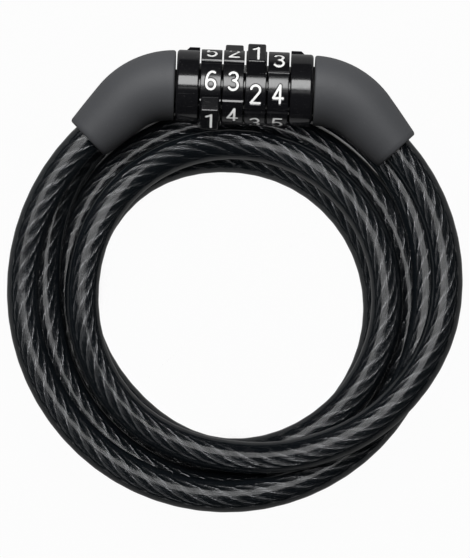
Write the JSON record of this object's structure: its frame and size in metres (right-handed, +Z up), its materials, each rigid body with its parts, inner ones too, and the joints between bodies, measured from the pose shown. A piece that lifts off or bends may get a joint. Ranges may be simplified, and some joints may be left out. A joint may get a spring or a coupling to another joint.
{
  "type": "combination cable lock",
  "caption": "Combination cable lock: a cylinder of number rings on a slotted core, a sliding pin, rubber boots and a coiled jacketed steel cable.",
  "frame": {"origin": "middle of the coiled cable, on the surface that the coil lies on", "axes": "+X along the lock cylinder towards the end that pulls off, +Y from the coil's middle towards the lock, +Z up from the surface"},
  "size_m": [0.1418, 0.1466, 0.0375],
  "materials": {
    "plated_steel": "zinc plated, satin",
    "spring_steel": "bright",
    "cap_black": "gloss black coat",
    "ring_black": "gloss",
    "gate_brass": "turned",
    "boot_rubber": "matte moulded",
    "cable_jacket": "clear smoke-black, glossy",
    "wire_rope": "twisted bright wire"
  },
  "bodies": {
    "lock_body": {"core_tube": "plated_steel", "click_spring": "spring_steel", "spacer_washers": "ring_black", "left_end_cap": "cap_black", "right_end_cap": "cap_black", "left_roll_pin": "spring_steel", "right_roll_pin": "spring_steel", "left_ferrule": "plated_steel", "left_boot": "boot_rubber", "cable_coil": "cable_jacket", "cable_tail": "cable_jacket", "rope_coil": "wire_rope", "rope_tail": "wire_rope"},
    "dial_1": {"number_ring_1": "ring_black", "gate_ring_1": "gate_brass"},
    "dial_2": {"number_ring_2": "ring_black", "gate_ring_2": "gate_brass"},
    "dial_3": {"number_ring_3": "ring_black", "gate_ring_3": "gate_brass"},
    "dial_4": {"number_ring_4": "ring_black", "gate_ring_4": "gate_brass"},
    "pin_end": {"locking_pin": "plated_steel", "right_ferrule": "plated_steel", "right_boot": "boot_rubber"}
  },
  "joints": [
    {"name": "dial_1_turn", "type": "hinge", "parent": "lock_body", "child": "dial_1", "pos_m": [-0.0089, 0.067, 0.025], "axis": [1, 0, 0], "continuous": true},
    {"name": "dial_2_turn", "type": "hinge", "parent": "lock_body", "child": "dial_2", "pos_m": [-0.0019, 0.067, 0.025], "axis": [1, 0, 0], "continuous": true},
    {"name": "dial_3_turn", "type": "hinge", "parent": "lock_body", "child": "dial_3", "pos_m": [0.0051, 0.067, 0.025], "axis": [1, 0, 0], "continuous": true},
    {"name": "dial_4_turn", "type": "hinge", "parent": "lock_body", "child": "dial_4", "pos_m": [0.0121, 0.067, 0.025], "axis": [1, 0, 0], "continuous": true},
    {"name": "pin_slide", "type": "slide", "parent": "lock_body", "child": "pin_end", "axis": [1, 0, 0], "range_m": [0, 0.04], "deforming": ["cable_tail", "rope_tail"]}
  ]
}
